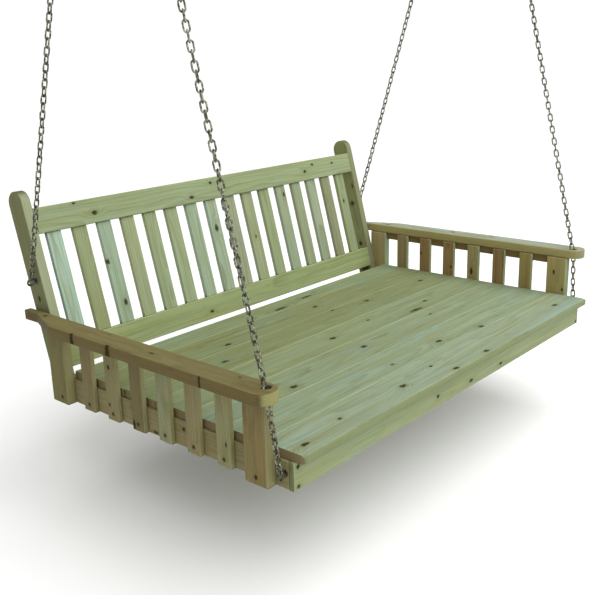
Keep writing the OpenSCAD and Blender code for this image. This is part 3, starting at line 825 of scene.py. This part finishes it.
def chain_mesh(name, runs, sign):
    """All the links of a chain. A run is its start, direction and number of links, and its whole twist."""
    rng = random.Random(name)
    line = link_points()
    plane = [Vector((0, y, z)) for y, z, _ in line]
    radii = [radius for _, _, radius in line]
    link_verts, link_faces = tube(plane, radii, [X] * len(line), LINK_ROUND)
    verts, faces = [], []
    index = 0
    mirror = Vector((sign, 1, 1))
    for right_start, right_direction, count, twist in runs:
        start, direction = right_start * mirror, right_direction * mirror
        slope = (Matrix.Rotation(-math.atan2(direction.y, direction.z), 4, "X")
                 @ Matrix.Rotation(math.asin(direction.x), 4, "Y"))
        for k in range(count):
            turn = 90 * (index % 2) + sign * twist * (k + 1) / count + rng.uniform(-4, 4)
            place = (Matrix.Translation(start + direction * PITCH * (k + 0.5)) @ slope
                     @ Matrix.Rotation(math.radians(turn + 180 * rng.randint(0, 1)), 4, "Z"))
            base = len(verts)
            verts += [place @ v for v in link_verts]
            faces += [tuple(base + c for c in face) for face in link_faces]
            index += 1
    return mesh_from(name, verts, faces)


def chains():
    low_start = FRONT_BEND - FRONT_LINKS_BELOW * PITCH * FRONT_LOW_UP
    front = [(low_start, FRONT_LOW_UP, FRONT_LINKS_BELOW, 0), (FRONT_BEND, FRONT_UP, FRONT_LINKS_ABOVE, 90)]
    rear = [(REAR_EYE + EYE_REACH * REAR_UP, REAR_UP, REAR_LINKS, 0)]
    for side, sign in SIDES.items():
        for end, runs in (("front", front), ("rear", rear)):
            name = f"chain_{end}_{side}"
            finished(name, chain_mesh(name, runs, sign), SEAT, SWING, [name], CHAIN_STEEL)


# ---- Bolts, nuts, washers and screws ----


def lathe(profile, count=32):
    """A solid of revolution about Z, from (radius, height) pairs; a radius of 0 closes an end."""
    verts, faces, rings = [], [], []
    for radius, height in profile:
        if radius == 0:
            verts.append(Vector((0, 0, height)))
            rings.append([len(verts) - 1])
            continue
        rings.append(list(range(len(verts), len(verts) + count)))
        verts += [spoke(radius, k / count, height) for k in range(count)]
    for low, high in zip(rings, rings[1:]):
        for k in range(count):
            j = (k + 1) % count
            if len(low) == 1:
                faces.append((low[0], high[j], high[k]))
            elif len(high) == 1:
                faces.append((low[k], low[j], high[0]))
            else:
                faces.append((low[k], low[j], high[j], high[k]))
    return verts, faces


def threaded_rod(radius, length, pitch=0.0015, depth=0.0006, count=24, plain=0.0):
    """A rod along +Z with a real helical thread from its start up to its plain stretch."""
    verts = []
    steps = max(8, round(length / pitch * 6))
    for i in range(steps + 1):
        height = length * i / steps
        for k in range(count):
            turn = k / count
            phase = (height / pitch - turn) % 1.0
            groove = depth * (1 - abs(2 * phase - 1))
            fade = min(1.0, max(0.0, (length - plain - height) / pitch))
            taper = max(0.0, 1 - height / 0.0015) * 0.0008
            verts.append(spoke(radius - groove * fade - taper, turn, height))
    return verts, skin(steps + 1, count)


def nut_shape(across_corner, height, bore, count=48):
    """A hexagon nut along +Z with chamfered corners."""
    flat = across_corner * math.cos(math.pi / 6)

    def edge(angle):
        return flat / math.cos((angle + math.pi / 6) % (math.pi / 3) - math.pi / 6)

    def chamfer(radius):
        return max(0.0, radius - flat * 0.97) * 0.577

    verts, faces = [], []
    inner = flat * 0.96
    for k in range(count):
        angle = 2 * math.pi * k / count
        out = edge(angle)
        for radius, z in ((bore, 0.0006), (bore + 0.0006, 0.0), (inner, 0.0), (out, chamfer(out)),
                          (out, height - chamfer(out)), (inner, height), (bore + 0.0006, height),
                          (bore, height - 0.0006)):
            verts.append(spoke(radius, k / count, z))
    rows = 8
    for k in range(count):
        a, b = k * rows, (k + 1) % count * rows
        faces += [(a + r, a + (r + 1) % rows, b + (r + 1) % rows, b + r) for r in range(rows)]
    return verts, faces


def screw_head(count=24):
    """A domed head with a cross recess, facing +Z."""
    verts, faces = [], []
    rings = [0.0, 0.0006, 0.0012, 0.0018, 0.0024, 0.0031, 0.0038, 0.0043, SCREW_HEAD_R]
    for radius in rings[1:]:
        for k in range(count):
            x, y, _ = spoke(radius, k / count, 0)
            dome = SCREW_STAND - 0.0006 * (radius / SCREW_HEAD_R) ** 2
            arm = min(abs(x), abs(y))
            cut = max(0.0, 1 - arm / 0.0007) * max(0.0, 1 - radius / 0.0028)
            verts.append(Vector((x, y, dome - 0.0016 * min(1.0, 2 * cut))))
    verts.append(Vector((0, 0, SCREW_STAND - 0.0018)))
    tip = len(verts) - 1
    faces += [(tip, k, (k + 1) % count) for k in range(count)]
    for i in range(len(rings) - 2):
        a, b = i * count, (i + 1) * count
        faces += [(a + k, b + k, b + (k + 1) % count, a + (k + 1) % count) for k in range(count)]
    base = (len(rings) - 2) * count
    low = len(verts)
    for radius, z in ((SCREW_HEAD_R, -0.0010), (0.0020, -0.0026), (0.0018, -0.010)):
        verts += [spoke(radius, k / count, z) for k in range(count)]
    for a, b in ((base, low), (low, low + count), (low + count, low + 2 * count)):
        faces += [(a + k, b + k, b + (k + 1) % count, a + (k + 1) % count) for k in range(count)]
    faces.append(tuple(range(low + 2 * count, low + 3 * count))[::-1])
    return verts, faces


def gather(name, shapes):
    """One mesh from several (matrix, (verts, faces)) pairs."""
    verts, faces = [], []
    for place, (some, more) in shapes:
        base = len(verts)
        verts += [place @ v for v in some]
        faces += [tuple(base + c for c in face) for face in more]
    return mesh_from(name, verts, faces)


def crisp(mesh, degrees=35):
    """Smooth shading that breaks at sharp edges."""
    bm = bmesh.new()
    bm.from_mesh(mesh)
    bmesh.ops.recalc_face_normals(bm, faces=bm.faces[:])
    for edge in bm.edges:
        edge.smooth = len(edge.link_faces) == 2 and edge.calc_face_angle(0.0) < math.radians(degrees)
    bm.to_mesh(mesh)
    bm.free()
    return mesh


ALONG_X = Matrix.Rotation(math.pi / 2, 4, "Y")
INNER_X = HALF_W - FRAME_T


def eye_bolts():
    flip = {1: Matrix.Identity(4), -1: Matrix.Scale(-1, 4, X)}
    nuts, washers = [], []
    tail_x = INNER_X - WASHER_T - NUT_T - BOLT_END
    for side, sign in SIDES.items():
        for end, centre, chain_up in (("front", FRONT_EYE, FRONT_LOW_UP), ("rear", REAR_EYE, REAR_UP)):
            up = Vector((0, chain_up.y, chain_up.z)).normalized()
            turns = [2 * math.pi * k / 40 for k in range(40)]
            points = [centre + EYE_R * (math.cos(t) * up + math.sin(t) * X) for t in turns]
            ring = tube(points, [EYE_WIRE_D / 2] * len(points), [up.cross(X)] * len(points), 14)
            shank = threaded_rod(EYE_SHANK_D / 2, centre.x - EYE_R - tail_x, plain=0.010)
            shoulder = lathe([(0, -0.001), (0.0052, -0.001), (0.0060, 0.0015),
                              (0.0048, 0.0045), (0, 0.0050)], 20)

            def at(x, mirror=flip[sign], y=centre.y, z=centre.z):
                return mirror @ Matrix.Translation((x, y, z)) @ ALONG_X

            name = f"eye_bolt_{end}_{side}"
            mesh = gather(name, [(flip[sign], ring), (at(tail_x), shank),
                                 (at(centre.x - EYE_R - 0.0045), shoulder)])
            finished(name, crisp(mesh, 50), SEAT, SWING, [name], FITTING_STEEL)
            spin = Matrix.Rotation(random.Random(name).uniform(0, 1), 4, "Z")
            nut = nut_shape(NUT_R, NUT_T, EYE_SHANK_D / 2 - 0.0002)
            nuts.append((at(INNER_X - WASHER_T - NUT_T) @ spin, nut))
            rim = [(0.0052, 0.0002), (0.0054, 0), (WASHER_R - 0.0004, 0), (WASHER_R, 0.0004),
                   (WASHER_R, WASHER_T - 0.0004), (WASHER_R - 0.0004, WASHER_T), (0.0054, WASHER_T),
                   (0.0052, WASHER_T - 0.0002), (0.0052, 0.0002)]
            washers += [(at(x), lathe(rim)) for x in (INNER_X - WASHER_T, HALF_W)]
    for name, shapes in (("eye_bolt_nuts", nuts), ("eye_bolt_washers", washers)):
        finished(name, crisp(gather(name, shapes)), SEAT, SWING, [name], FITTING_STEEL)


def screws():
    post_ys = [FRONT_POST_Y + FRAME_W / 2, REAR_POST_Y + FRAME_W / 3]
    slat, post, apron = [], [], []
    rng = random.Random("screws")
    for sign in SIDES.values():
        outward = Matrix.Rotation(sign * math.pi / 2, 4, "Y")
        for heap, x, ys in ((slat, HALF_W + SLAT_T, arm_slat_ys()), (post, HALF_W + FRAME_T, post_ys)):
            for y in ys:
                spin = Matrix.Rotation(rng.uniform(0, math.pi), 4, "Z")
                heap.append((Matrix.Translation((sign * x, y, SCREW_LOW_Z)) @ outward @ spin, screw_head()))
        forward = Matrix.Rotation(math.pi / 2, 4, "X")
        for z in APRON_SCREW_ZS:
            spin = Matrix.Rotation(rng.uniform(0, math.pi), 4, "Z")
            place = Matrix.Translation((sign * (HALF_W - FRAME_T / 2), APRON_FRONT_Y, z)) @ forward @ spin
            apron.append((place, screw_head()))
    for name, shapes in (("slat_screws", slat), ("post_screws", post), ("apron_screws", apron)):
        finished(name, crisp(gather(name, shapes), 50), SEAT, SWING, [name], SCREW_STEEL)


def hangers():
    """A closed ring with a straight lower bar, a collar that meets the ceiling and a lag screw."""
    top = RING_H
    corners = [((BAR_HALF, BEND_R), -90), ((BAR_HALF, top - BEND_R), 0),
               ((-BAR_HALF, top - BEND_R), 90), ((-BAR_HALF, BEND_R), 180)]
    line = []
    for centre, start in corners:
        line += [Vector((p.x, 0, p.y)) for p in arc(centre, BEND_R, start, start + 90, 8)]
    ring = tube(line, [HANGER_ROD_D / 2] * len(line), [Y] * len(line), 16)
    lag_r = LAG_D / 2
    body = lathe([(0, top), (lag_r + 0.003, top - 0.001), (lag_r + 0.002, top + 0.003), (lag_r, top + 0.006),
                  (lag_r, top + NECK_L - 0.002), (lag_r + 0.002, top + NECK_L),
                  (COLLAR_R - 0.001, top + NECK_L), (COLLAR_R, top + NECK_L + 0.001),
                  (COLLAR_R, HANGER_DROP - 0.001), (COLLAR_R - 0.001, HANGER_DROP), (0, HANGER_DROP)], 40)
    screw = lag_screw(lag_r)
    for side, sign in SIDES.items():
        name = f"ceiling_hanger_{side}"
        place = Matrix.Translation((sign * HANGER_X, 0, -HANGER_DROP))
        mesh = gather(name, [(place, ring), (place, body),
                             (place @ Matrix.Translation((0, 0, HANGER_DROP)), screw)])
        finished(name, crisp(mesh, 60), Matrix.Identity(4), CEILING, [name], HANGER_STEEL)


def lag_screw(radius, pitch=0.004, depth=0.0014, count=28):
    """A coarse wood thread along +Z, full size at its crest and tapered to a point."""
    verts = []
    length = LAG_L + LAG_TIP_L
    steps = round(length / pitch * 10)
    for i in range(steps + 1):
        height = length * i / steps
        point = min(1.0, (length - height) / LAG_TIP_L)
        for k in range(count):
            phase = (height / pitch - k / count) % 1.0
            crest = max(0.0, 1 - abs(phase - 0.5) / 0.22)
            start = min(1.0, max(0.0, (height - 0.004) / pitch))
            here = (radius - depth * start * (1 - crest)) * (0.12 + 0.88 * point)
            verts.append(spoke(here, k / count, height))
    return verts, skin(steps + 1, count)


# ---- Stage ----

# The sky's strength overhead, and the soft key light's strength, spread in radians and direction
SKY, KEY, KEY_SPREAD = 0.55, 2.75, 1.3
KEY_FROM = Vector((0.0, -0.62, 0.785))
# The camera by the seat's axes, its yaw, pitch and roll in degrees, and its lens in millimetres
CAMERA_AT, CAMERA_TURNS, CAMERA_LENS = Vector((-2.5324, -1.4596, 0.8792)), (-49.04, -17.90, 0.18), 51.13
# A soft lamp over the right end, where the photo is brighter: its strength, place and aim
LAMP, LAMP_AT, LAMP_TO = 55.0, Vector((1.7, -0.3, 0.8)), Vector((0.9, -0.1, -2.4))


def stage():
    """A plain pale floor under the swing, soft studio light and the camera."""
    floor_z = (SEAT @ Vector((0, 0.5, DECK_TOP))).z - FLOOR_BELOW_DECK
    size = 200.0
    corners = [(x, y, floor_z) for x, y in ((-size, -size), (size, -size), (size, size), (-size, size))]
    floor = in_scene("floor", mesh_from("floor", corners, [(0, 1, 2, 3)]))
    paint = bpy.data.materials.new("floor_paint")
    paint.use_nodes = True
    shader = paint.node_tree.nodes["Principled BSDF"]
    shader.inputs["Base Color"].default_value = (0.86, 0.86, 0.85, 1)
    shader.inputs["Roughness"].default_value = 0.9
    floor.data.materials.append(paint)

    world = bpy.data.worlds.new("studio")
    world.use_nodes = True
    g = Graph(world.node_tree)
    height = g.split(g.node("ShaderNodeTexCoord").outputs["Generated"])[2]
    sky = world.node_tree.nodes["Background"]
    sky.inputs["Color"].default_value = (1.0, 1.0, 1.0, 1)
    g.feed(sky.inputs["Strength"], g.ease(height, 0.06, 0.35, 1.05, SKY))
    bpy.context.scene.world = world

    lamp = bpy.data.lights.new("key", "SUN")
    lamp.energy = KEY
    lamp.angle = KEY_SPREAD
    in_scene("key", lamp).rotation_euler = KEY_FROM.to_track_quat("Z", "Y").to_euler()

    lamp = bpy.data.lights.new("lamp", "AREA")
    lamp.energy = LAMP
    lamp.size = 2.4
    holder = in_scene("lamp", lamp)
    holder.location = LAMP_AT
    holder.rotation_euler = (LAMP_AT - LAMP_TO).to_track_quat("Z", "Y").to_euler()

    lens = bpy.data.cameras.new("camera")
    lens.sensor_width = 36.0
    lens.lens = CAMERA_LENS
    lens.clip_end = 500.0
    camera = in_scene("camera", lens)
    yaw, pitch, roll = (math.radians(angle) for angle in CAMERA_TURNS)
    camera.matrix_world = (Matrix.Translation(SEAT @ CAMERA_AT) @ Matrix.Rotation(yaw, 4, "Z")
                           @ Matrix.Rotation(math.pi / 2 + pitch, 4, "X") @ Matrix.Rotation(roll, 4, "Z"))
    bpy.context.scene.camera = camera
    bpy.context.scene.view_settings.view_transform = "Standard"


stage()
deck()
aprons()
arms()
back()
chains()
eye_bolts()
screws()
hangers()
